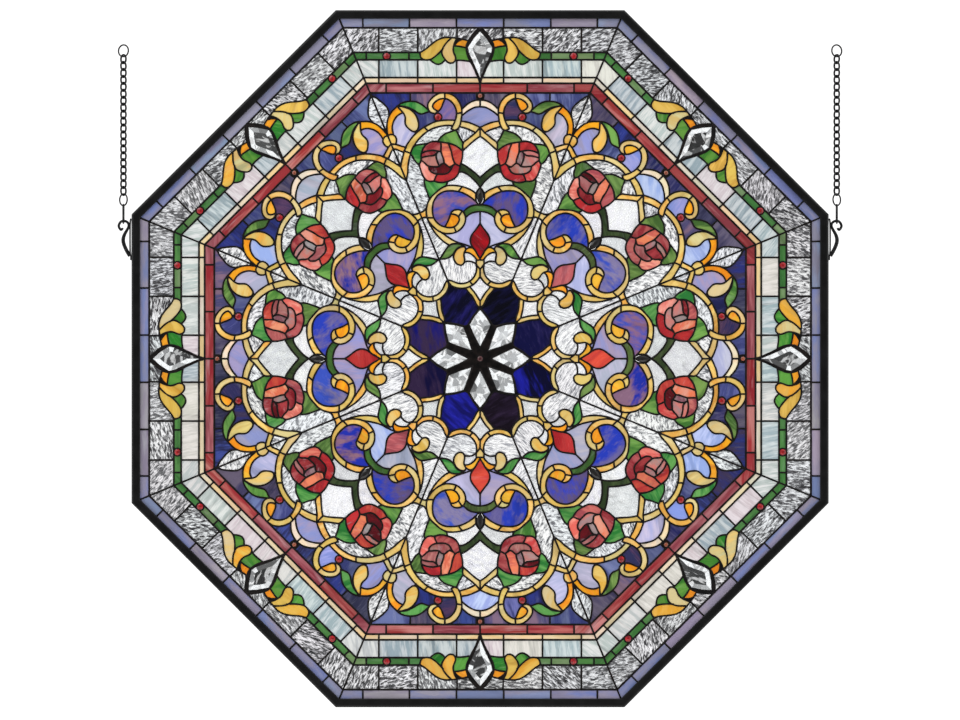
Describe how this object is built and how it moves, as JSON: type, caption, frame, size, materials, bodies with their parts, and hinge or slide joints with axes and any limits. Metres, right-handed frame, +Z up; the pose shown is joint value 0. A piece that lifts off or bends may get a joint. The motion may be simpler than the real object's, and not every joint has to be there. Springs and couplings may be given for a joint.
{
  "type": "stained glass window",
  "caption": "Octagonal stained glass window panel with roses, scrolls and bevels in a black zinc channel, with scroll hangers and chains ending in hanging rings.",
  "frame": {"origin": "midway between the centres of the two top rings that the chains hang from", "axes": "+X along the width of the window to its right as seen from the front, +Y from the front of the glass to its back, +Z up"},
  "size_m": [0.9526, 0.012, 0.914],
  "materials": {
    "zinc": "black patina, satin",
    "solder": "black patina over solder, satin",
    "black_wire": "blackened, satin",
    "lavender_glass": "streaky, polished",
    "red_glass": "streaky, polished",
    "border_glass": "rippled",
    "bevel_glass": "clear, polished facets",
    "rose_glass": "streaky, polished",
    "navy_glass": "streaky, polished",
    "field_glass": "streaky, polished",
    "ruby_glass": "clear, faceted"
  },
  "bodies": {
    "root": {"zinc_frame": "zinc", "solder_lines": "solder", "lavender_strip": "lavender_glass", "red_strip": "red_glass", "field_glass": "field_glass", "border_panel_1": "border_glass", "border_bevel_1": "bevel_glass", "star_bevel_1": "bevel_glass", "navy_petal_1": "navy_glass", "border_panel_2": "border_glass", "border_bevel_2": "bevel_glass", "star_bevel_2": "bevel_glass", "navy_petal_2": "navy_glass", "border_panel_3": "border_glass", "border_bevel_3": "bevel_glass", "star_bevel_3": "bevel_glass", "navy_petal_3": "navy_glass", "border_panel_4": "border_glass", "border_bevel_4": "bevel_glass", "star_bevel_4": "bevel_glass", "navy_petal_4": "navy_glass", "border_panel_5": "border_glass", "border_bevel_5": "bevel_glass", "star_bevel_5": "bevel_glass", "navy_petal_5": "navy_glass", "border_panel_6": "border_glass", "border_bevel_6": "bevel_glass", "star_bevel_6": "bevel_glass", "navy_petal_6": "navy_glass", "border_panel_7": "border_glass", "border_bevel_7": "bevel_glass", "star_bevel_7": "bevel_glass", "navy_petal_7": "navy_glass", "border_panel_8": "border_glass", "border_bevel_8": "bevel_glass", "star_bevel_8": "bevel_glass", "navy_petal_8": "navy_glass", "rose_1": "rose_glass", "rose_2": "rose_glass", "rose_3": "rose_glass", "rose_4": "rose_glass", "rose_5": "rose_glass", "rose_6": "rose_glass", "rose_7": "rose_glass", "rose_8": "rose_glass", "rose_9": "rose_glass", "rose_10": "rose_glass", "rose_11": "rose_glass", "rose_12": "rose_glass", "rose_13": "rose_glass", "rose_14": "rose_glass", "rose_15": "rose_glass", "rose_16": "rose_glass", "centre_jewel": "ruby_glass", "top_ring_left": "black_wire", "chain_left": "black_wire", "hanger_left": "black_wire", "top_ring_right": "black_wire", "chain_right": "black_wire", "hanger_right": "black_wire"}
  },
  "joints": []
}
